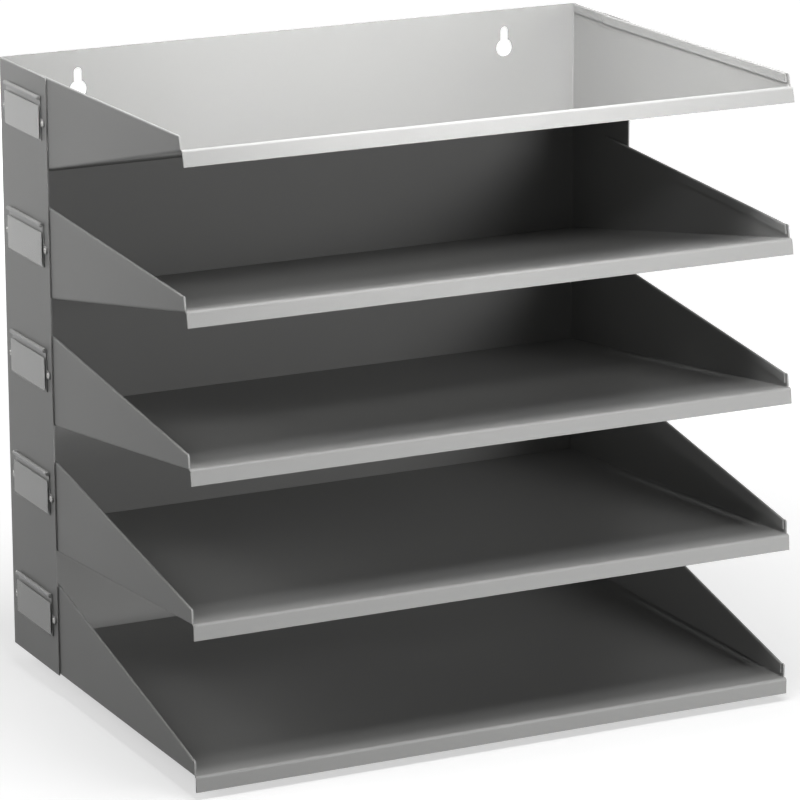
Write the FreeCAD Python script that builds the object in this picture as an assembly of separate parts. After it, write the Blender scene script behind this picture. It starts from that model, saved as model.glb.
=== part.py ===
import FreeCAD, Part

import math
import os

# A sorting rack for loose papers: a folded sheet steel back panel carries a fan of open trays.
# Millimetres. +Z is up, +Y points to the back, X = 0 is the middle of the rack's width.
# Z = 0 is the desk under the feet, and Y = 0 is half way along the bottom tray.

# Sheet metal
WIDTH = 345.0
SHEET = 0.8
BEND = 0.7
BEND_RELIEF = 1.5
HEM_HEIGHT = 5.0
HEM_SETBACK = 1.6
WELD_GAP = 0.1

# Back panel with its side flanges and keyholes
FLANGE_DEPTH = 65.0
KEYHOLE_SPACING = 256.0
KEYHOLE_DROP = 12.0
KEYHOLE_RUN = 9.5
KEYHOLE_HEAD_R = 5.0
KEYHOLE_SLOT_R = 2.4

# Trays, counted from the bottom, each tipped up a little more than the one below
TRAY_COUNT = 5
TRAY_FRONT_LENGTH = 180.0
FRONT_PITCH = 80.0
TILT_STEP = 3.5
WING_HEIGHT = 50.0
WING_FRONT_HEIGHT = 7.7
WING_FRONT_CORNER = 1.2
WING_OVERLAP = 15.0
LIP_DROP = 7.8
LIP_LAND = 0.3
LIP_RELIEF = 0.4
REAR_GAP = 0.3

# Label holders on the outside of the left flange
HOLDER_FRONT_MARGIN = 6.5
HOLDER_REAR_MARGIN = 11.0
HOLDER_HEIGHT = 24.0
HOLDER_WALL = 0.6
HOLDER_GAP = 0.1
HOLDER_RISE = 20.2
HOLDER_DROP = 10.3
BEAD_R = 1.2
EAR_LENGTH = 4.6
EAR_R = 2.1
EAR_RISE = 9.8

# Clear pockets and paper cards in the holders
WINDOW_HEIGHT = 19.2
WINDOW_WALL = 0.6
WINDOW_BEND = 0.5
CARD_THICKNESS = 0.3
CARD_HEIGHT = 17.8
CARD_SLACK = 0.2
CARD_RIVET_GAP = 0.2

# Rivets through the holders' ears
RIVET_R = 1.0
RIVET_HOLE_SLACK = 0.1
RIVET_HEAD_R = 1.6
RIVET_HEAD = 0.5
RIVET_HEAD_EDGE = 0.3
RIVET_TAIL_R = 1.5
RIVET_TAIL = 0.6

# Rubber feet under the bottom tray
FOOT_HEIGHT = 12.0
FOOT_R = 9.0
FOOT_TAPER = 1.0
FOOT_EDGE = 1.0
FOOT_INSET = 35.0

# Places that follow from the sizes above
V = FreeCAD.Vector
SIDES = (-1, 1)
TRAYS = range(TRAY_COUNT)
TOP_TRAY = TRAY_COUNT - 1
BEND_OUTSIDE = BEND + SHEET
SIDE_X = WIDTH / 2
SIDE_INNER_X = SIDE_X - SHEET
TRAY_SIDE_X = SIDE_INNER_X - WELD_GAP
TRAY_FLAT_X = TRAY_SIDE_X - BEND_OUTSIDE
BACK_Y = (FLANGE_DEPTH + TRAY_FRONT_LENGTH) / 2
BACK_INNER_Y = BACK_Y - SHEET
FLANGE_FRONT_Y = BACK_Y - FLANGE_DEPTH
BASE_Z = FOOT_HEIGHT
LIP_REAR = TRAY_FRONT_LENGTH - BEND_OUTSIDE - LIP_LAND
WING_FRONT = LIP_REAR - LIP_RELIEF
WING_SLOPE = (WING_HEIGHT - WING_FRONT_HEIGHT) / WING_FRONT
WING_REAR_HEIGHT = WING_HEIGHT + WING_SLOPE * WING_OVERLAP


def tilt(tray):
    """Degrees that a tray tips up towards its front."""
    return tray * TILT_STEP


def floor_z(tray):
    """Height of a tray's underside where it passes the flanges' front edges."""
    return BASE_Z + tray * FRONT_PITCH - TRAY_FRONT_LENGTH * math.sin(math.radians(tilt(tray)))


TOP_TILT = math.radians(tilt(TOP_TRAY))
TOP_WING_REAR_Y = FLANGE_FRONT_Y + WING_OVERLAP * math.cos(TOP_TILT) + WING_REAR_HEIGHT * math.sin(TOP_TILT)
COLUMN_TOP_Z = floor_z(TOP_TRAY) + WING_HEIGHT * math.cos(TOP_TILT)
HOLDER_MID_Y = BACK_Y - FLANGE_DEPTH / 2
HOLDER_FRONT_Y = FLANGE_FRONT_Y + HOLDER_FRONT_MARGIN
HOLDER_REAR_Y = BACK_Y - HOLDER_REAR_MARGIN
HOLDER_FACE = HOLDER_GAP + HOLDER_WALL
RIVET_FRONT_Y = HOLDER_FRONT_Y - EAR_LENGTH + EAR_R
RIVET_REAR_Y = HOLDER_REAR_Y + EAR_LENGTH - EAR_R
CARD_BACK = HOLDER_FACE + RIVET_HEAD + CARD_RIVET_GAP
WINDOW_BACK = CARD_BACK + CARD_THICKNESS + CARD_SLACK
WINDOW_FACE = WINDOW_BACK + WINDOW_WALL


def holder_z(tray):
    """Height of the lower edge of a tray's label holder; the holders share the column evenly."""
    first = BASE_Z + HOLDER_RISE
    last = COLUMN_TOP_Z - HOLDER_DROP - HOLDER_HEIGHT
    return first + (last - first) * tray / TOP_TRAY


def rivet_z(tray):
    """Height of the two rivets of a tray's label holder."""
    return holder_z(tray) + EAR_RISE


def out(distance):
    """X of a point that stands this far out from the left flange's outer face."""
    return -SIDE_X - distance


def box(x, y, z):
    """Box between pairs of low and high coordinates."""
    return Part.makeBox(x[1] - x[0], y[1] - y[0], z[1] - z[0], V(x[0], y[0], z[0]))


def rod(radius, start, end):
    """Round bar between two points."""
    return Part.makeCylinder(radius, (end - start).Length, start, end - start)


def rounded(shape, radius, points):
    """Shape with a round of this radius along each edge that passes through one of the points."""
    spots = [Part.Vertex(p) for p in points]
    edges = [e for e in shape.Edges if min(e.distToShape(s)[0] for s in spots) < 1e-6]
    return shape.makeFillet(radius, edges)


def keyhole(x):
    """Cutter for a round hole that takes a screw's head, with a slot above it for the shank."""
    y = (BACK_INNER_Y - SHEET, BACK_Y + SHEET)
    slot_z = COLUMN_TOP_Z - KEYHOLE_DROP
    head_z = slot_z - KEYHOLE_RUN
    head = rod(KEYHOLE_HEAD_R, V(x, y[0], head_z), V(x, y[1], head_z))
    slot_end = rod(KEYHOLE_SLOT_R, V(x, y[0], slot_z), V(x, y[1], slot_z))
    slot = box((x - KEYHOLE_SLOT_R, x + KEYHOLE_SLOT_R), y, (head_z, slot_z))
    return head.fuse([slot_end, slot]).removeSplitter()


def rivet_hole(y, tray):
    """Cutter for a rivet's hole through everything on the left side."""
    z = rivet_z(tray)
    return rod(RIVET_R + RIVET_HOLE_SLACK, V(out(WINDOW_FACE), y, z), V(-TRAY_FLAT_X, y, z))


def hem(x_side, outer_x, y):
    """Edge folded flat to the inside: two layers of sheet under a round top, which is at z = 0."""
    x = sorted((x_side * outer_x, x_side * (outer_x - 2 * SHEET)))
    mid_x = x_side * (outer_x - SHEET)
    layers = box(x, y, (-HEM_HEIGHT, -SHEET))
    return layers.fuse(rod(SHEET, V(mid_x, y[0], -SHEET), V(mid_x, y[1], -SHEET)))


def along_wing(shape):
    """Shape made along a level edge, laid along the wings' sloping tops with its y = 0 at their front."""
    shape.rotate(V(0, 0, 0), V(1, 0, 0), math.degrees(math.atan(WING_SLOPE)))
    shape.translate(V(0, -WING_FRONT, WING_FRONT_HEIGHT))
    return shape


def back_panel():
    """Back and two side flanges, folded from one sheet, with hems behind the top tray's wings."""
    z = (BASE_Z, COLUMN_TOP_Z)
    mid_z = (BASE_Z + COLUMN_TOP_Z) / 2
    outside = box((-SIDE_X, SIDE_X), (FLANGE_FRONT_Y, BACK_Y), z)
    outside = rounded(outside, BEND_OUTSIDE, [V(s * SIDE_X, BACK_Y, mid_z) for s in SIDES])
    inside = box((-SIDE_INNER_X, SIDE_INNER_X), (FLANGE_FRONT_Y - SHEET, BACK_INNER_Y), z)
    inside = rounded(inside, BEND, [V(s * SIDE_INNER_X, BACK_INNER_Y, mid_z) for s in SIDES])
    hem_y = (TOP_WING_REAR_Y + BEND_RELIEF, BACK_INNER_Y - BEND - BEND_RELIEF)
    cuts = [inside, box((-SIDE_X, SIDE_X), hem_y, (COLUMN_TOP_Z - SHEET, COLUMN_TOP_Z))]
    cuts += [keyhole(s * KEYHOLE_SPACING / 2) for s in SIDES]
    cuts += [rivet_hole(y, tray) for tray in TRAYS for y in (RIVET_FRONT_Y, RIVET_REAR_Y)]
    hems = [hem(s, SIDE_X, hem_y) for s in SIDES]
    for fold in hems:
        fold.translate(V(0, 0, COLUMN_TOP_Z))
    return outside.cut(cuts).fuse(hems).removeSplitter()


def tray_channel():
    """Floor with its two hemmed wings, in the tray's own frame: y = 0 at the flanges, front towards -y."""
    y = (-WING_FRONT, WING_OVERLAP)
    room = box((-TRAY_SIDE_X, TRAY_SIDE_X), y, (0, WING_REAR_HEIGHT))
    inner_x = TRAY_SIDE_X - SHEET
    outside = rounded(room, BEND_OUTSIDE, [V(s * TRAY_SIDE_X, 0, 0) for s in SIDES])
    inside = box((-inner_x, inner_x), y, (SHEET, WING_REAR_HEIGHT))
    inside = rounded(inside, BEND, [V(s * inner_x, 0, SHEET) for s in SIDES])
    outline = [
        V(-TRAY_SIDE_X, y[1], 0),
        V(-TRAY_SIDE_X, y[1], WING_REAR_HEIGHT),
        V(-TRAY_SIDE_X, y[0], WING_FRONT_HEIGHT),
        V(-TRAY_SIDE_X, y[0], 0),
    ]
    wings = Part.Face(Part.makePolygon(outline + outline[:1])).extrude(V(2 * TRAY_SIDE_X, 0, 0))
    wings = rounded(wings, WING_FRONT_CORNER, [V(0, y[0], WING_FRONT_HEIGHT)])
    hem_y = (HEM_SETBACK, WING_FRONT + WING_OVERLAP + WING_REAR_HEIGHT)
    strip = along_wing(box((-SIDE_X, SIDE_X), hem_y, (-SHEET, SHEET)))
    hems = [along_wing(hem(s, TRAY_SIDE_X, hem_y)).common(room) for s in SIDES]
    return outside.cut([inside, strip]).common(wings).fuse(hems)


def tray_rear(length):
    """Rear of the floor between the flanges, with relief notches behind the wings."""
    floor = (0, SHEET)
    notch = WING_OVERLAP + BEND_RELIEF
    plate = box((-TRAY_SIDE_X, TRAY_SIDE_X), (notch, length), floor)
    plate = rounded(plate, BEND_OUTSIDE, [V(s * TRAY_SIDE_X, length, SHEET / 2) for s in SIDES])
    return plate.fuse(box((-TRAY_FLAT_X, TRAY_FLAT_X), (WING_OVERLAP, notch), floor))


def tray_front():
    """Front of the floor, past the wings, with the lip folded down from it."""
    x = (-TRAY_SIDE_X, TRAY_SIDE_X)
    outside = box(x, (-TRAY_FRONT_LENGTH, -LIP_REAR), (-LIP_DROP, SHEET))
    outside = rounded(outside, BEND_OUTSIDE, [V(0, -TRAY_FRONT_LENGTH, SHEET)])
    inside = box(x, (SHEET - TRAY_FRONT_LENGTH, -LIP_REAR), (-LIP_DROP, 0))
    inside = rounded(inside, BEND, [V(0, SHEET - TRAY_FRONT_LENGTH, 0)])
    neck = box((-TRAY_FLAT_X, TRAY_FLAT_X), (-LIP_REAR, -WING_FRONT), (0, SHEET))
    return outside.cut(inside).fuse(neck)


def tray_sheet(tray):
    """One tray, folded from one sheet, tipped up and set between the flanges."""
    rear = (FLANGE_DEPTH - SHEET - REAR_GAP) / math.cos(math.radians(tilt(tray)))
    sheet = tray_channel().fuse([tray_rear(rear), tray_front()]).removeSplitter()
    sheet.rotate(V(0, 0, 0), V(1, 0, 0), -tilt(tray))
    sheet.translate(V(0, FLANGE_FRONT_Y, floor_z(tray)))
    return sheet.cut(rivet_hole(RIVET_FRONT_Y, tray))


def label_holder(tray):
    """Plate against the flange, with a bead along its top and an ear at each end for a rivet."""
    y = (HOLDER_FRONT_Y, HOLDER_REAR_Y)
    x = (out(HOLDER_FACE), out(HOLDER_GAP))
    bottom = holder_z(tray)
    bead_x = out(HOLDER_GAP + BEAD_R)
    bead_z = bottom + HOLDER_HEIGHT - BEAD_R
    ear_z = rivet_z(tray)
    plate = box(x, y, (bottom, bead_z))
    bead = rod(BEAD_R, V(bead_x, y[0], bead_z), V(bead_x, y[1], bead_z))
    ears = box(x, (RIVET_FRONT_Y, RIVET_REAR_Y), (ear_z - EAR_R, ear_z + EAR_R))
    ends = [rod(EAR_R, V(x[0], e, ear_z), V(x[1], e, ear_z)) for e in (RIVET_FRONT_Y, RIVET_REAR_Y)]
    holder = plate.fuse([bead, ears] + ends).removeSplitter()
    return holder.cut([rivet_hole(e, tray) for e in (RIVET_FRONT_Y, RIVET_REAR_Y)])


def label_window(tray):
    """Clear strip bent to a pocket: open along its top and at both ends."""
    y = (HOLDER_FRONT_Y, HOLDER_REAR_Y)
    bottom = holder_z(tray)
    top = bottom + WINDOW_HEIGHT
    floor = bottom + WINDOW_WALL
    seat = out(HOLDER_FACE + HOLDER_GAP)
    outside = box((out(WINDOW_FACE), seat), y, (bottom, top))
    outside = rounded(outside, WINDOW_BEND + WINDOW_WALL, [V(out(WINDOW_FACE), HOLDER_MID_Y, bottom)])
    inside = box((out(WINDOW_BACK), seat), y, (floor, top))
    inside = rounded(inside, WINDOW_BEND, [V(out(WINDOW_BACK), HOLDER_MID_Y, floor)])
    return outside.cut(inside)


def label_card(tray):
    """Paper card that stands in the pocket and slides out of its front end."""
    bottom = holder_z(tray) + WINDOW_WALL + WINDOW_BEND
    x = (out(CARD_BACK + CARD_THICKNESS), out(CARD_BACK))
    return box(x, (HOLDER_FRONT_Y, HOLDER_REAR_Y), (bottom, bottom + CARD_HEIGHT))


def rivet(y, tray, inner_x):
    """Rivet that clamps an ear against the sheets whose inner face is at inner_x."""
    ear_x = out(HOLDER_FACE)
    head_x = ear_x - RIVET_HEAD
    tail_x = inner_x + RIVET_TAIL
    z = rivet_z(tray)
    head = rod(RIVET_HEAD_R, V(head_x, y, z), V(ear_x, y, z))
    head = rounded(head, RIVET_HEAD_EDGE, [V(head_x, y, z + RIVET_HEAD_R)])
    shank = rod(RIVET_R, V(ear_x, y, z), V(inner_x, y, z))
    tail = rod(RIVET_TAIL_R, V(inner_x, y, z), V(tail_x, y, z))
    return head.fuse([shank, tail]).removeSplitter()


def label_rivets():
    """All rivets: the front ones also go through the trays' left wings, the rear ones don't."""
    wing_inner_x = SHEET - TRAY_SIDE_X
    front = [rivet(RIVET_FRONT_Y, tray, wing_inner_x) for tray in TRAYS]
    rear = [rivet(RIVET_REAR_Y, tray, -SIDE_INNER_X) for tray in TRAYS]
    return Part.makeCompound(front + rear)


def rubber_foot(x_side, y_side):
    """Tapered foot stuck under a corner of the bottom tray; it lifts the front lip off the desk."""
    x = x_side * (SIDE_X - FOOT_INSET)
    y = y_side * (BACK_Y - FOOT_INSET)
    foot = Part.makeCone(FOOT_R - FOOT_TAPER, FOOT_R, FOOT_HEIGHT, V(x, y, 0))
    return rounded(foot, FOOT_EDGE, [V(x + FOOT_R - FOOT_TAPER, y, 0)])


nodes = {"back_panel": back_panel(), "label_rivets": label_rivets()}
for tray in TRAYS:
    number = tray + 1
    nodes[f"tray_{number}"] = tray_sheet(tray)
    nodes[f"label_holder_{number}"] = label_holder(tray)
    nodes[f"label_window_{number}"] = label_window(tray)
    nodes[f"label_card_{number}"] = label_card(tray)
for x_side, x_name in ((-1, "left"), (1, "right")):
    for y_side, y_name in ((-1, "front"), (1, "rear")):
        nodes[f"foot_{y_name}_{x_name}"] = rubber_foot(x_side, y_side)

os.makedirs("parts", exist_ok=True)
for name, shape in nodes.items():
    shape.exportStep(f"parts/{name}.step")
    print(f"{name}: {len(shape.Solids)} solids, {shape.Volume / 1000:.2f} cm3, valid {shape.isValid()}")
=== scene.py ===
import math

import bmesh
import bpy
from mathutils import Matrix, Vector


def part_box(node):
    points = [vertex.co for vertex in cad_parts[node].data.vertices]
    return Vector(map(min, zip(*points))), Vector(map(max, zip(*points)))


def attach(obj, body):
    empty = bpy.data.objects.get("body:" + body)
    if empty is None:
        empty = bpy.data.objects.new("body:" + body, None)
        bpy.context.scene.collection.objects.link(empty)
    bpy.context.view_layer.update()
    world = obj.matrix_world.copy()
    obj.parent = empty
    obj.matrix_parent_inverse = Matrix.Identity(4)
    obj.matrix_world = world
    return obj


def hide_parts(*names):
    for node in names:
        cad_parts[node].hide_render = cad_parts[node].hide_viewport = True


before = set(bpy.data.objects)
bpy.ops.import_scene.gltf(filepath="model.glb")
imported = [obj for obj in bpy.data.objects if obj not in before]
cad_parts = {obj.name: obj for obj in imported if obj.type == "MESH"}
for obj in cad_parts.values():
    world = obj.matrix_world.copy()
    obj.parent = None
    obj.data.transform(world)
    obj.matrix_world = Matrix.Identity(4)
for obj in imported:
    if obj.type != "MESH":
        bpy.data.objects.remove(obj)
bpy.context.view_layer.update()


# Back panel: one 0.8 mm steel sheet with a flange folded forwards at each side and two keyholes
# punched near the top. The flanges' tops are hemmed behind the top tray. The whole rack is powder
# coated in satin grey after welding, so every sheet carries the same slightly pebbled paint.
MM = 0.001
SAME_POINT = 0.001 * MM
SHEET = 0.8 * MM
BEND = 0.7 * MM + SHEET / 2
BEND_STEPS = 10
HEM_HEIGHT = 5.0 * MM
HEM_FOLD = 0.45 * MM
HEM_TOP = HEM_FOLD + SHEET / 2
HEM_RELIEF = 1.5 * MM
TOP_WING_REAR = 27.5 * MM
KEYHOLE_X = 128.0 * MM
KEYHOLE_DROP = 12.0 * MM
KEYHOLE_RUN = 9.5 * MM
KEYHOLE_HEAD = 5.0 * MM
KEYHOLE_SLOT = 2.4 * MM
KEYHOLE_BORDER = 1.0 * MM
SHEARED_EDGE = 0.16 * MM
PAINT_GREY = (0.33, 0.33, 0.325, 1.0)


class Wire:
    """A socket in a node tree. Arithmetic on it adds Math nodes, and add() makes any other node."""

    def __init__(self, tree, socket=None):
        self.tree = tree
        self.socket = socket

    def add(self, kind, settings=None, sockets=None, out=0):
        """New node: settings first, then each socket's value or wire. Returns one output's wire."""
        node = self.tree.nodes.new(kind)
        for name, value in (settings or {}).items():
            setattr(node, name, value)
        for name, value in (sockets or {}).items():
            if isinstance(value, Wire):
                self.tree.links.new(value.socket, node.inputs[name])
            else:
                node.inputs[name].default_value = value
        return Wire(self.tree, node.outputs[out] if len(node.outputs) else None)

    def math(self, operation, *values):
        return self.add("ShaderNodeMath", {"operation": operation}, dict(enumerate(values)))

    def __add__(self, other):
        return self.math("ADD", self, other)

    def __sub__(self, other):
        return self.math("SUBTRACT", self, other)

    def __mul__(self, other):
        return self.math("MULTIPLY", self, other)

    def __rsub__(self, other):
        return self.math("SUBTRACT", other, self)

    def __truediv__(self, other):
        return self.math("DIVIDE", self, other)

    def __rtruediv__(self, other):
        return self.math("DIVIDE", other, self)

    __radd__ = __add__
    __rmul__ = __mul__


def new_finish(name):
    """Empty material, with a wire that starts its node tree."""
    finish = bpy.data.materials.new(name)
    finish.use_nodes = True
    finish.node_tree.nodes.clear()
    return finish, Wire(finish.node_tree)


def noise(start, scale, detail=2.0):
    """Noise from 0 to 1 over the piece, with this many patches to the metre."""
    place = start.add("ShaderNodeTexCoord", out="Object")
    sockets = {"Vector": place, "Scale": scale, "Detail": detail}
    return start.add("ShaderNodeTexNoise", sockets=sockets, out="Fac")


def surface(start, sockets):
    """Ends a material's tree in one surface shader with these sockets."""
    shader = start.add("ShaderNodeBsdfPrincipled", sockets=sockets)
    start.add("ShaderNodeOutputMaterial", sockets={"Surface": shader})


def mottled(start, colour, amount, mask):
    """Colour that lightens and darkens by this share as the mask goes from 1 to 0."""
    dark = [c * (1 - amount) for c in colour[:3]] + [1.0]
    light = [c * (1 + amount) for c in colour[:3]] + [1.0]
    return start.add("ShaderNodeMix", {"data_type": "RGBA"}, {0: mask, 6: dark, 7: light}, out=2)


def powder_coat(name, colour):
    """Satin powder coat: a fine pebbled skin, faintly cloudy in colour and gloss."""
    finish, start = new_finish(name)
    cloud = noise(start, 14.0, detail=3.0)
    pebbles = noise(start, 1100.0)
    grain = noise(start, 4200.0, detail=1.0)
    height = pebbles + grain * 0.35
    skin = start.add("ShaderNodeBump", sockets={"Distance": 0.02 * MM, "Height": height})
    surface(start, {
        "Base Color": mottled(start, colour, 0.03, cloud),
        "Roughness": 0.40 + cloud * 0.10,
        "Specular IOR Level": 0.2,
        "Normal": skin,
    })
    return finish


def arc(centre, radius, start, end, steps):
    """Points of an arc in a plane, from one angle to another in degrees."""
    angles = [math.radians(start + (end - start) * i / steps) for i in range(steps + 1)]
    return [(centre[0] + radius * math.cos(a), centre[1] + radius * math.sin(a)) for a in angles]


def new_piece(name, bm):
    """Object at the origin with this mesh, smoothly shaded."""
    mesh = bpy.data.meshes.new(name)
    bm.to_mesh(mesh)
    bm.free()
    mesh.shade_smooth()
    piece = bpy.data.objects.new(name, mesh)
    bpy.context.scene.collection.objects.link(piece)
    return piece


def settle(piece):
    """Turns a piece's modifiers into plain mesh."""
    graph = bpy.context.evaluated_depsgraph_get()
    piece.data = bpy.data.meshes.new_from_object(piece.evaluated_get(graph))
    piece.modifiers.clear()
    return piece


def soften(piece, width, angle=40.0):
    """Rounds a piece's sharp edges by this width and keeps its flats flat in the shading."""
    bevel = piece.modifiers.new("edges", "BEVEL")
    bevel.width = width
    bevel.segments = 2
    bevel.limit_method = "ANGLE"
    bevel.angle_limit = math.radians(angle)
    piece.modifiers.new("flats", "WEIGHTED_NORMAL")
    return settle(piece)


def add_grid(bm, rows):
    """Quads between rows of points."""
    grid = [[bm.verts.new(p) for p in row] for row in rows]
    for low_row, high_row in zip(grid, grid[1:]):
        for a, b, c, d in zip(low_row, low_row[1:], high_row[1:], high_row):
            bm.faces.new((a, b, c, d))


def folded_sheet(name, bm, thickness, edge):
    """Piece of sheet from its middle surface: joined, made this thick, and its cut edges softened."""
    bmesh.ops.remove_doubles(bm, verts=bm.verts[:], dist=SAME_POINT)
    bmesh.ops.recalc_face_normals(bm, faces=bm.faces[:])
    piece = new_piece(name, bm)
    solid = piece.modifiers.new("thickness", "SOLIDIFY")
    solid.thickness = thickness
    solid.offset = 0.0
    solid.use_even_offset = True
    return soften(piece, edge)


def keyhole(x, head_z, grow):
    """Outline of a keyhole in the back, grown outwards all round by this much."""
    head, slot = KEYHOLE_HEAD + grow, KEYHOLE_SLOT + grow
    shoulder = math.degrees(math.asin(slot / head))
    points = arc((x, head_z), head, 90 + shoulder, 450 - shoulder, steps=28)
    points += arc((x, head_z + KEYHOLE_RUN), slot, 0, 180, steps=12)
    return points


low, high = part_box("back_panel")
side_x = high.x - SHEET / 2
back_y = high.y - SHEET / 2
flat_x, flat_y = side_x - BEND, back_y - BEND
hem_z = high.z - HEM_TOP
hem_front = low.y + TOP_WING_REAR + HEM_RELIEF
hem_rear = flat_y - HEM_RELIEF

bm = bmesh.new()
for side in (-1, 1):
    flange = [(side_x, low.y), (side_x, hem_front), (side_x, hem_rear)]
    corner = arc((flat_x, flat_y), BEND, 0, 90, BEND_STEPS)
    add_grid(bm, [[(side * x, y, z) for x, y in flange + corner] for z in (low.z, hem_z)])
    for plan in (flange[:2], flange[2:] + corner):
        add_grid(bm, [[(side * x, y, z) for x, y in plan] for z in (hem_z, high.z)])
    fold = arc((side_x - HEM_FOLD, hem_z), HEM_FOLD, 0, 180, BEND_STEPS)
    fold.append((side_x - 2 * HEM_FOLD, high.z - HEM_HEIGHT))
    add_grid(bm, [[(side * x, y, z) for y in (hem_front, hem_rear)] for x, z in fold])

border = [(-flat_x, low.z), (flat_x, low.z), (flat_x, hem_z)]
border += [(flat_x, high.z), (-flat_x, high.z), (-flat_x, hem_z)]
rims = []
for side in (-1, 1):
    head_z = high.z - KEYHOLE_DROP - KEYHOLE_RUN
    rings = [keyhole(side * KEYHOLE_X, head_z, grow) for grow in (0.0, KEYHOLE_BORDER)]
    add_grid(bm, [[(x, back_y, z) for x, z in ring + ring[:1]] for ring in rings])
    rims.append(rings[1])
edges = []
for loop in [border] + rims:
    ring = [bm.verts.new((x, back_y, z)) for x, z in loop]
    edges += [bm.edges.new(pair) for pair in zip(ring, ring[1:] + ring[:1])]
bmesh.ops.triangle_fill(bm, use_beauty=True, edges=edges, normal=(0, -1, 0))

grey_paint = powder_coat("grey_paint", PAINT_GREY)
back_panel = folded_sheet("back_panel_sheet", bm, SHEET, SHEARED_EDGE)
back_panel.data.materials.append(grey_paint)
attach(back_panel, "rack")
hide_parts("back_panel")


# Trays: each is one steel sheet, with a wing folded up at each side, hemmed along its sloping top,
# and a lip folded down at the front. All five are alike but for the rear edge. They fan out from the
# back panel, each tipped up a little more than the one below, and are spot welded to the flanges.
TRAY_COUNT = 5
TRAY_LENGTH = 180.0 * MM
TRAY_PITCH = 80.0 * MM
TILT_STEP = math.radians(3.5)
REAR_GAP = 0.3 * MM
LIP_DROP = 7.8 * MM
LIP_RELIEF = 0.4 * MM
WING_FRONT = 177.8 * MM
WING_REAR = 15.0 * MM
WING_HEIGHT = 50.0 * MM
WING_TIP = 7.7 * MM
WING_CORNER = 1.2 * MM
WING_HEM_SETBACK = 1.6 * MM
WELD_GAP = 0.1 * MM


def node_rule(name, inputs):
    """Geometry Nodes tree with named inputs; returns the tree and a wire from each input."""
    tree = bpy.data.node_groups.new(name, "GeometryNodeTree")
    tree.interface.new_socket("Geometry", in_out="OUTPUT", socket_type="NodeSocketGeometry")
    for label, kind in {"Geometry": "Geometry", "Finish": "Material", **inputs}.items():
        tree.interface.new_socket(label, in_out="INPUT", socket_type="NodeSocket" + kind)
    source = tree.nodes.new("NodeGroupInput")
    return tree, {s.name: Wire(tree, s) for s in source.outputs if s.name}


def end_rule(shape, finish):
    """Ends a Geometry Nodes tree: instances made real, and the finish put on."""
    real = shape.add("GeometryNodeRealizeInstances", sockets={"Geometry": shape})
    painted = shape.add("GeometryNodeSetMaterial", sockets={"Geometry": real, "Material": finish})
    shape.add("NodeGroupOutput", sockets={"Geometry": painted})


def run_rule(piece, tree, values):
    """Runs a tree on a piece with these input values and keeps what it makes as plain mesh."""
    modifier = piece.modifiers.new(tree.name, "NODES")
    modifier.node_group = tree
    for socket in tree.interface.items_tree:
        if socket.in_out == "INPUT" and socket.name in values:
            modifier[socket.identifier] = values[socket.name]
    return settle(piece)


def tray_fan():
    """Tree that tips a level tray about the flanges' front edges and lifts it into the fan."""
    tree, inputs = node_rule("tray_fan", {
        "Number": "Int", "Tilt step": "Float", "Pitch": "Float", "Length": "Float",
        "Hinge": "Float", "Base": "Float",
    })
    tilt = inputs["Number"] * inputs["Tilt step"]
    drop = inputs["Length"] * tilt.math("SINE", tilt)
    rise = inputs["Base"] + inputs["Number"] * inputs["Pitch"] - drop
    turn = tilt.add("ShaderNodeCombineXYZ", sockets={"X": 0 - tilt})
    place = tilt.add("ShaderNodeCombineXYZ", sockets={"Y": inputs["Hinge"], "Z": rise})
    tipped = tilt.add("GeometryNodeTransform", sockets={
        "Geometry": inputs["Geometry"], "Rotation": turn, "Translation": place,
    })
    end_rule(tipped, inputs["Finish"])
    return tree


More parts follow.
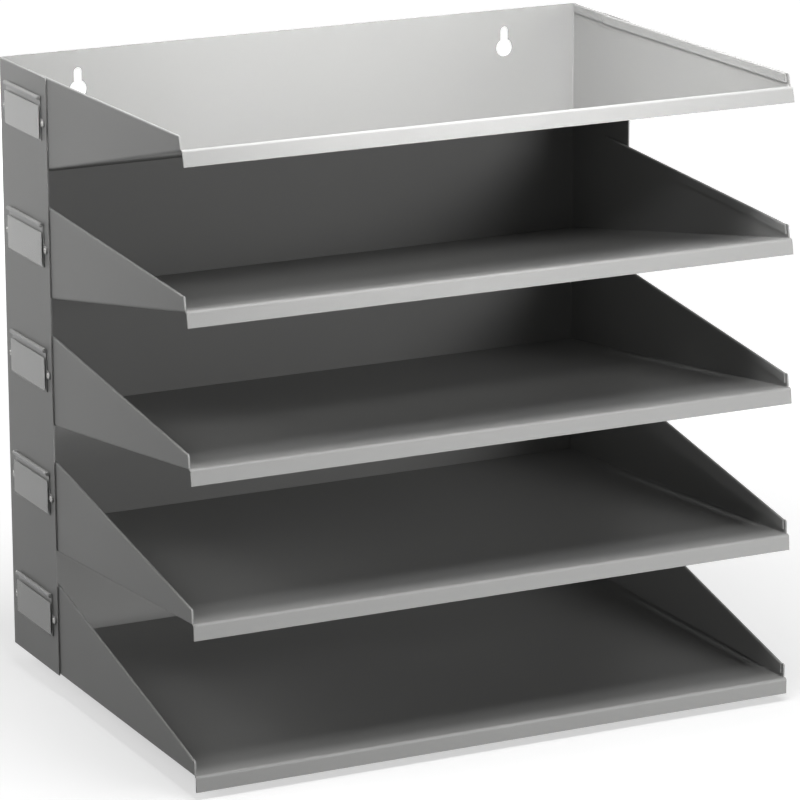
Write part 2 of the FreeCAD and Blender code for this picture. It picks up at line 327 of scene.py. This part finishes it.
def level_tray(name, rear):
    """One tray before it is tipped: its y = 0 is at the flanges' front edges, its front towards -y."""
    outer_x = high.x - SHEET - WELD_GAP
    wing_x = outer_x - SHEET / 2
    floor_x = wing_x - BEND
    floor_z = SHEET / 2
    slope = math.atan2(WING_HEIGHT - WING_TIP, WING_FRONT)
    steep = 1 / math.cos(slope)

    def wing_top(y):
        return WING_TIP + (y + WING_FRONT) * math.tan(slope)

    bend = arc((floor_x, floor_z + BEND), BEND, -90, 0, BEND_STEPS)
    bend_top = bend[-1][1]
    corner = (WING_CORNER - WING_FRONT, wing_top(WING_CORNER - WING_FRONT) - WING_CORNER * steep)
    hem_y = WING_HEM_SETBACK * math.cos(slope) - WING_FRONT
    hem_share = 1 - HEM_TOP * steep / (wing_top(hem_y) - bend_top)
    tip = arc(corner, WING_CORNER, 180, 90 + math.degrees(slope), steps=7)
    tip.append((hem_y, wing_top(hem_y)))
    tip = [(y, bend_top + (z - bend_top) * hem_share, z) for y, z in tip]
    stations = [(y, z) for y, z, top in tip] + [(WING_REAR, wing_top(WING_REAR) - HEM_TOP * steep)]

    bm = bmesh.new()
    rows = []
    for y, z in stations:
        half = [(x, y, h) for x, h in bend] + [(wing_x, y, z)]
        rows.append([(-x, y, h) for x, y, h in reversed(half)] + half)
    add_grid(bm, rows)
    for side in (-1, 1):
        add_grid(bm, [[(side * wing_x, y, z) for z in (middle, top)] for y, middle, top in tip])
        fold = arc((-HEM_FOLD, 0), HEM_FOLD, 0, 180, BEND_STEPS)
        fold.append((-2 * HEM_FOLD, HEM_TOP - HEM_HEIGHT))
        hem_ends = stations[-2:]
        add_grid(bm, [[(side * (wing_x + x), y, z + h * steep) for x, h in fold] for y, z in hem_ends])

    def across(y, z, half=outer_x):
        return [(x, y, z) for x in (-half, -floor_x, floor_x, half)]

    notch = -WING_FRONT - LIP_RELIEF
    lip = arc((SHEET / 2 + BEND - TRAY_LENGTH, floor_z - BEND), BEND, 90, 180, BEND_STEPS)
    lip = [(notch, floor_z)] + lip + [(lip[-1][0], -LIP_DROP)]
    add_grid(bm, [across(notch, floor_z)[1:3], across(-WING_FRONT, floor_z)[1:3]])
    add_grid(bm, [across(y, z) for y, z in lip])
    notch = WING_REAR + HEM_RELIEF
    round_off = outer_x - floor_x
    corner = arc((floor_x, rear - round_off), round_off, 0, 90, steps=6)
    add_grid(bm, [across(WING_REAR, floor_z)[1:3], across(notch, floor_z)[1:3]])
    add_grid(bm, [across(notch, floor_z)] + [across(y, floor_z, x) for x, y in corner])
    return folded_sheet(name, bm, SHEET, SHEARED_EDGE)


fan = tray_fan()
for number in range(TRAY_COUNT):
    depth = back_y - SHEET / 2 - low.y - REAR_GAP
    tray = level_tray(f"tray_sheet_{number + 1}", depth / math.cos(number * TILT_STEP))
    run_rule(tray, fan, {
        "Number": number, "Tilt step": TILT_STEP, "Pitch": TRAY_PITCH, "Length": TRAY_LENGTH,
        "Hinge": low.y, "Base": low.z, "Finish": grey_paint,
    })
    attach(tray, "rack")
    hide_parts(f"tray_{number + 1}")


# Feet: four tapered black rubber feet, moulded, stuck under the corners of the bottom tray. They lift
# the folded lip clear of the desk.
FOOT_EDGE = 1.0 * MM
FOOT_TAPER = 1.0 * MM
FOOT_RIM = 0.2 * MM
RUBBER_BLACK = (0.03, 0.03, 0.03, 1.0)


def turned(bm, profile, place, steps=32):
    """Adds a closed round shape: pairs of height and radius, turned about the z axis of a place."""
    rings = []
    for height, radius in profile:
        angles = [2 * math.pi * i / steps for i in range(steps)]
        rings.append([(radius * math.cos(a), radius * math.sin(a), height) for a in angles])
    made = bmesh.new()
    add_grid(made, [ring + ring[:1] for ring in rings])
    bmesh.ops.remove_doubles(made, verts=made.verts[:], dist=SAME_POINT)
    for cap in (profile[0], profile[-1]):
        rim = [e for e in made.edges if e.is_boundary and abs(e.verts[0].co.z - cap[0]) < SAME_POINT]
        if rim:
            bmesh.ops.edgeloop_fill(made, edges=rim)
    bmesh.ops.recalc_face_normals(made, faces=made.faces[:])
    made.transform(place)
    mesh = bpy.data.meshes.new("turned")
    made.to_mesh(mesh)
    made.free()
    bm.from_mesh(mesh)
    bpy.data.meshes.remove(mesh)


def four_corners():
    """Tree that sets a copy of a piece at each corner of a rectangle."""
    tree, inputs = node_rule("four_corners", {"Across": "Float", "Along": "Float"})
    start = inputs["Geometry"]
    points = start.add("GeometryNodeMeshGrid", sockets={
        "Size X": inputs["Across"], "Size Y": inputs["Along"], "Vertices X": 2, "Vertices Y": 2,
    })
    copies = start.add("GeometryNodeInstanceOnPoints", sockets={"Points": points, "Instance": start})
    end_rule(copies, inputs["Finish"])
    return tree


foot_low, foot_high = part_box("foot_front_left")
foot_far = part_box("foot_rear_right")[0]
foot_r = (foot_high.x - foot_low.x) / 2
sole_r = foot_r - FOOT_TAPER
bm = bmesh.new()
sole = [(z, r) for r, z in arc((sole_r - FOOT_EDGE, FOOT_EDGE), FOOT_EDGE, -90, 0, steps=5)]
turned(bm, sole + [(foot_high.z, foot_r)], Matrix.Identity(4), steps=48)
feet = soften(new_piece("feet", bm), FOOT_RIM, angle=60)

rubber, start = new_finish("foot_rubber")
grain = noise(start, 2500.0)
surface(start, {
    "Base Color": RUBBER_BLACK,
    "Roughness": 0.62 + grain * 0.2,
    "Normal": start.add("ShaderNodeBump", sockets={"Distance": 0.02 * MM, "Height": grain}),
})
run_rule(feet, four_corners(), {
    "Across": foot_far.x - foot_low.x, "Along": foot_far.y - foot_low.y, "Finish": rubber,
})
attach(feet, "rack")
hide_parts("foot_front_left", "foot_rear_left", "foot_front_right", "foot_rear_right")


# Label holders: five moulded grey plastic plates on the outside of the left flange, each with a round
# bead along its top and an ear at each end for a rivet.
BEAD = 1.2 * MM
BEAD_END = 0.4 * MM
EAR = 2.1 * MM
EAR_RISE = 9.8 * MM
EAR_REACH = 4.6 * MM
EAR_ROUND = 0.98 * EAR
EAR_ROOT = 0.5 * MM
PLATE = 0.6 * MM
PLATE_CORNER = 0.6 * MM
CORNER_STEPS = 6
PLATE_EDGE = 0.15 * MM
HOLDER_GREY = (0.40, 0.40, 0.395, 1.0)


def round_corners(corners):
    """Outline through corners, each given with the radius that rounds it."""
    points = []
    for i, (y, z, radius) in enumerate(corners):
        here = Vector((y, z))
        before = (Vector(corners[i - 1][:2]) - here).normalized()
        after = (Vector(corners[(i + 1) % len(corners)][:2]) - here).normalized()
        half = before.angle(after) / 2
        centre = here + (before + after).normalized() * radius / math.sin(half)
        first = here + before * radius / math.tan(half) - centre
        last = here + after * radius / math.tan(half) - centre
        for step in range(CORNER_STEPS + 1):
            spoke = first.lerp(last, step / CORNER_STEPS).normalized() * radius
            points.append(tuple(centre + spoke))
    return points


def flat_plate(bm, outline, x0, x1):
    """Adds a flat plate: an outline in y and z, between two values of x."""
    ends = [[bm.verts.new((x, y, z)) for y, z in outline] for x in (x0, x1)]
    faces = [bm.faces.new(ends[0]), bm.faces.new(ends[1])]
    for i in range(len(outline)):
        j = (i + 1) % len(outline)
        faces.append(bm.faces.new((ends[0][i], ends[0][j], ends[1][j], ends[1][i])))
    bmesh.ops.recalc_face_normals(bm, faces=faces)


def column_row():
    """Tree that repeats a piece up the column at an even pitch."""
    tree, inputs = node_rule("column_row", {"Count": "Int", "Pitch": "Float"})
    start = inputs["Geometry"]
    step = start.add("ShaderNodeCombineXYZ", sockets={"Z": inputs["Pitch"]})
    points = start.add("GeometryNodeMeshLine", sockets={"Count": inputs["Count"], "Offset": step})
    copies = start.add("GeometryNodeInstanceOnPoints", sockets={"Points": points, "Instance": start})
    end_rule(copies, inputs["Finish"])
    return tree


holder_low, holder_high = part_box("label_holder_1")
holder_pitch = (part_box(f"label_holder_{TRAY_COUNT}")[0].z - holder_low.z) / (TRAY_COUNT - 1)
plate_front, plate_rear = holder_low.y + EAR_REACH, holder_high.y - EAR_REACH
plate_x = holder_high.x
bead_z = holder_high.z - BEAD
ear_z = holder_low.z + EAR_RISE

bm = bmesh.new()
flat_plate(bm, round_corners([
    (plate_front, holder_low.z, PLATE_CORNER),
    (plate_rear, holder_low.z, PLATE_CORNER),
    (plate_rear, ear_z - EAR, EAR_ROOT),
    (holder_high.y, ear_z - EAR, EAR_ROUND),
    (holder_high.y, ear_z + EAR, EAR_ROUND),
    (plate_rear, ear_z + EAR, EAR_ROOT),
    (plate_rear, bead_z, PLATE_CORNER),
    (plate_front, bead_z, PLATE_CORNER),
    (plate_front, ear_z + EAR, EAR_ROOT),
    (holder_low.y, ear_z + EAR, EAR_ROUND),
    (holder_low.y, ear_z - EAR, EAR_ROUND),
    (plate_front, ear_z - EAR, EAR_ROOT),
]), plate_x - PLATE, plate_x)
holders = soften(new_piece("label_holders", bm), PLATE_EDGE)
bm = bmesh.new()
bm.from_mesh(holders.data)
tip = [(y, r) for r, y in arc((BEAD - BEAD_END, BEAD_END), BEAD_END, -90, 0, steps=4)]
length = plate_rear - plate_front
rod = tip + [(length - y, r) for y, r in reversed(tip)]
bead_end = Matrix.Translation((plate_x - BEAD, plate_front, bead_z))
along_y = Matrix.Rotation(math.radians(-90), 4, "X")
turned(bm, rod, bead_end @ along_y, steps=28)
bm.to_mesh(holders.data)
bm.free()

plastic, start = new_finish("holder_plastic")
cloud = noise(start, 60.0)
grain = noise(start, 1800.0)
surface(start, {
    "Base Color": mottled(start, HOLDER_GREY, 0.03, cloud),
    "Roughness": 0.28 + cloud * 0.08,
    "Normal": start.add("ShaderNodeBump", sockets={"Distance": 0.008 * MM, "Height": grain}),
})
up_the_column = column_row()
run_rule(holders, up_the_column, {"Count": TRAY_COUNT, "Pitch": holder_pitch, "Finish": plastic})
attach(holders, "rack")
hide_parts(*[f"label_holder_{n + 1}" for n in range(TRAY_COUNT)])


# Rivets: ten small blind rivets of plain steel through the holders' ears, with a hollow domed head
# outside and a set tail inside. The front ones also go through the trays' wings.
RIVET_HEAD = 1.6 * MM
RIVET_DOME = 0.5 * MM
DOME_STEPS = 5
RIVET_TAIL = 1.5 * MM
RIVET_TAIL_HEIGHT = 0.6 * MM
RIVET_TAIL_SIDE = RIVET_TAIL_HEIGHT * 0.6
RIVET_TAIL_FLAT = RIVET_TAIL * 0.7
RIVET_SHANK = 1.0 * MM
RIVET_BORE = 0.6 * MM
RIVET_BORE_DEPTH = 0.7 * MM
RIVET_BRIM = 1.45
RIVET_EDGE = 0.06 * MM
STEEL_GREY = (0.40, 0.40, 0.39, 1.0)

bm = bmesh.new()
head_x = plate_x - PLATE - RIVET_DOME
wing_inner_x = low.x + 2 * SHEET + WELD_GAP
for y, inner_x in ((holder_low.y + EAR, wing_inner_x), (holder_high.y - EAR, low.x + SHEET)):
    grip = inner_x - head_x
    crown = math.asin(RIVET_BORE / RIVET_HEAD)
    turns = [crown + (RIVET_BRIM - crown) * i / DOME_STEPS for i in range(DOME_STEPS + 1)]
    profile = [(RIVET_BORE_DEPTH, 0.0), (RIVET_BORE_DEPTH, RIVET_BORE)]
    profile += [(RIVET_DOME * (1 - math.cos(a)), RIVET_HEAD * math.sin(a)) for a in turns]
    profile += [(RIVET_DOME, RIVET_HEAD), (RIVET_DOME, RIVET_SHANK)]
    profile += [(grip, RIVET_SHANK), (grip, RIVET_TAIL), (grip + RIVET_TAIL_SIDE, RIVET_TAIL)]
    profile += [(grip + RIVET_TAIL_HEIGHT, RIVET_TAIL_FLAT)]
    point_inwards = Matrix.Translation((head_x, y, ear_z)) @ Matrix.Rotation(math.radians(90), 4, "Y")
    turned(bm, profile, point_inwards, steps=24)
rivets = soften(new_piece("rivets", bm), RIVET_EDGE, angle=50)

steel, start = new_finish("bare_steel")
cloud = noise(start, 900.0)
surface(start, {"Base Color": STEEL_GREY, "Metallic": 1.0, "Roughness": 0.34 + cloud * 0.16})
run_rule(rivets, up_the_column, {"Count": TRAY_COUNT, "Pitch": holder_pitch, "Finish": steel})
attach(rivets, "rack")
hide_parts("label_rivets")


# Label pockets: a strip of clear plastic on each holder, bent up along its lower edge to make a pocket
# that is open along its top and at both ends.
POCKET_WALL = 0.6 * MM
POCKET_BEND = 0.5 * MM + POCKET_WALL / 2
POCKET_EDGE = 0.1 * MM
CLEAR = (0.86, 0.87, 0.87, 1.0)
CLEAR_COVER = 0.05

pocket_low, pocket_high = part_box("label_window_1")
front_x = pocket_low.x + POCKET_WALL / 2
floor_z = pocket_low.z + POCKET_WALL / 2
bm = bmesh.new()
section = [(front_x, pocket_high.z)]
section += arc((front_x + POCKET_BEND, floor_z + POCKET_BEND), POCKET_BEND, 180, 270, steps=8)
section += [(pocket_high.x, floor_z)]
add_grid(bm, [[(x, y, z) for y in (pocket_low.y, pocket_high.y)] for x, z in section])
pockets = folded_sheet("label_pockets", bm, POCKET_WALL, POCKET_EDGE)

clear, start = new_finish("clear_plastic")
haze = noise(start, 400.0)
surface(start, {"Base Color": CLEAR, "Roughness": 0.12 + haze * 0.05, "Alpha": CLEAR_COVER})
run_rule(pockets, up_the_column, {"Count": TRAY_COUNT, "Pitch": holder_pitch, "Finish": clear})
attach(pockets, "rack")
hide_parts(*[f"label_window_{n + 1}" for n in range(TRAY_COUNT)])


# Label cards: a blank strip of white card, cut with rounded corners, stands in each pocket. Nothing
# fixes it, so it slides out of the pocket's front end.
CARD_CORNER = 0.8 * MM
CARD_EDGE = 0.05 * MM
CARD_WHITE = (0.82, 0.82, 0.81, 1.0)

card_stock, start = new_finish("label_paper")
fibre = noise(start, 3500.0, detail=3.0)
surface(start, {
    "Base Color": mottled(start, CARD_WHITE, 0.02, fibre),
    "Roughness": 0.85,
    "Normal": start.add("ShaderNodeBump", sockets={"Distance": 0.004 * MM, "Height": fibre}),
})
for number in range(TRAY_COUNT):
    card_low, card_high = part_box(f"label_card_{number + 1}")
    bm = bmesh.new()
    flat_plate(bm, round_corners([
        (card_low.y, card_low.z, CARD_CORNER),
        (card_high.y, card_low.z, CARD_CORNER),
        (card_high.y, card_high.z, CARD_CORNER),
        (card_low.y, card_high.z, CARD_CORNER),
    ]), card_low.x, card_high.x)
    card = soften(new_piece(f"card_{number + 1}", bm), CARD_EDGE)
    card.data.materials.append(card_stock)
    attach(card, f"card_{number + 1}")
    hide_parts(f"label_card_{number + 1}")


# Studio: a sheet of white paper on the floor in a white room. The camera, gloss and clear plastic see
# both as white; for other light they are dim, so that only the lamps light the rack.
FLOOR_SIZE = 12.0
FLOOR_WHITE = (0.5, 0.5, 0.5, 1.0)
FLOOR_DIM = (0.06, 0.06, 0.06, 1.0)
FLOOR_GLOW = 1.05
LAMPLIT_FLOOR = 0.5
LAMP_SPREAD = 0.7
ROOM_WHITE = 1.0
ROOM_DIM = 0.02


def shown(start):
    """1 for the rays that show the studio: from the camera, a glossy face or a clear one."""
    rays = ("Is Camera Ray", "Is Glossy Ray", "Is Transmission Ray")
    seen, mirrored, through = [start.add("ShaderNodeLightPath", out=ray) for ray in rays]
    return seen + mirrored + through


bm = bmesh.new()
add_grid(bm, [[(x, y, 0.0) for x in (-FLOOR_SIZE, FLOOR_SIZE)] for y in (-FLOOR_SIZE, FLOOR_SIZE)])
floor = new_piece("studio_floor", bm)
paper, start = new_finish("studio_paper")
place = start.add("ShaderNodeTexCoord", out="Object")
from_middle = start.add("ShaderNodeVectorMath", {"operation": "LENGTH"}, {0: place}, out="Value")
distance = from_middle * (1 / LAMP_SPREAD)
fill = FLOOR_GLOW - LAMPLIT_FLOOR / (1.0 + distance * distance)
lit = start.add("ShaderNodeBsdfDiffuse", sockets={"Color": FLOOR_WHITE})
glow = start.add("ShaderNodeEmission", sockets={"Color": fill})
white = start.add("ShaderNodeAddShader", sockets={0: lit, 1: glow})
dim = start.add("ShaderNodeBsdfDiffuse", sockets={"Color": FLOOR_DIM})
paper_face = start.add("ShaderNodeMixShader", sockets={0: shown(start), 1: dim, 2: white})
start.add("ShaderNodeOutputMaterial", sockets={"Surface": paper_face})
floor.data.materials.append(paper)


def soft_light(name, place, aim, size, power, spread=180.0):
    """Rectangular soft light at a place, facing a point. A grid narrows its spread, in degrees."""
    lamp = bpy.data.lights.new(name, "AREA")
    lamp.shape = "RECTANGLE"
    lamp.size, lamp.size_y = size
    lamp.energy = power
    lamp.spread = math.radians(spread)
    light = bpy.data.objects.new(name, lamp)
    light.location = place
    light.visible_camera = False
    light.rotation_mode = "QUATERNION"
    light.rotation_quaternion = (Vector(aim) - Vector(place)).to_track_quat("-Z", "Y")
    bpy.context.scene.collection.objects.link(light)


# Each light has its place, the point it faces, its size in metres and its power in watts. The overhead
# one is the main light. The rest fill in the lips, the left side, the inside of the top tray and the
# back.
soft_light("overhead", (0.0, -0.12, 0.8), (0.0, -0.12, 0.2), (0.5, 0.3), 6.0)
soft_light("lip_top", (0.0, -0.3, 0.6), (0.0, -0.1, 0.2), (0.4, 0.1), 0.6)
soft_light("left_top", (-0.5, 0.0, 0.65), (0.0, 0.0, 0.3), (0.3, 0.3), 0.3)
soft_light("left_rear", (-0.55, 0.25, 0.4), (-0.17, 0.09, 0.22), (0.3, 0.3), 0.8)
soft_light("front_right", (1.2, -2.2, 0.6), (0.0, 0.0, 0.2), (1.2, 1.2), 22.0)
soft_light("table_card", (0.3, -0.75, 0.01), (0.3, -0.6, 1.0), (1.0, 0.5), 8.5)
soft_light("lip_strip", (0.2, -0.6, 0.012), (0.0, -0.12, 0.04), (0.9, 0.02), 1.4)
soft_light("top_front", (-0.15, -0.7, 0.7), (0.0, 0.1, 0.335), (0.15, 0.15), 0.16, spread=30.0)
soft_light("top_wing", (-0.12, -0.3, 0.75), (0.17, 0.0, 0.33), (0.12, 0.12), 0.08, spread=30.0)
soft_light("rear", (0.0, 1.6, 0.17), (0.0, 0.12, 0.17), (0.6, 0.3), 11.0)

room = bpy.data.worlds.new("studio_room")
room.use_nodes = True
room.node_tree.nodes.clear()
start = Wire(room.node_tree)
white = start.add("ShaderNodeBackground", sockets={"Strength": ROOM_WHITE})
dim = start.add("ShaderNodeBackground", sockets={"Strength": ROOM_DIM})
walls = start.add("ShaderNodeMixShader", sockets={0: shown(start), 1: dim, 2: white})
start.add("ShaderNodeOutputWorld", sockets={"Surface": walls})
bpy.context.scene.world = room


# Camera: a long lens at the photograph's viewing angle, above the rack and to its left. It is level to
# within a fifth of a degree.
CAMERA_PLACE = Vector((-1.0440, -2.1338, 0.8088))
CAMERA_AIM = Vector((0.00409, 0.0025, 0.15642))
CAMERA_ROLL = math.radians(-0.18)
LENS = 208.55
SENSOR = 36.0

lens = bpy.data.cameras.new("camera")
lens.lens = LENS
lens.sensor_width = SENSOR
camera = bpy.data.objects.new("camera", lens)
aim = (CAMERA_AIM - CAMERA_PLACE).to_track_quat("-Z", "Y").to_matrix().to_4x4()
camera.matrix_world = Matrix.Translation(CAMERA_PLACE) @ aim @ Matrix.Rotation(CAMERA_ROLL, 4, "Z")
bpy.context.scene.collection.objects.link(camera)
bpy.context.scene.camera = camera
bpy.context.scene.view_settings.view_transform = "Standard"
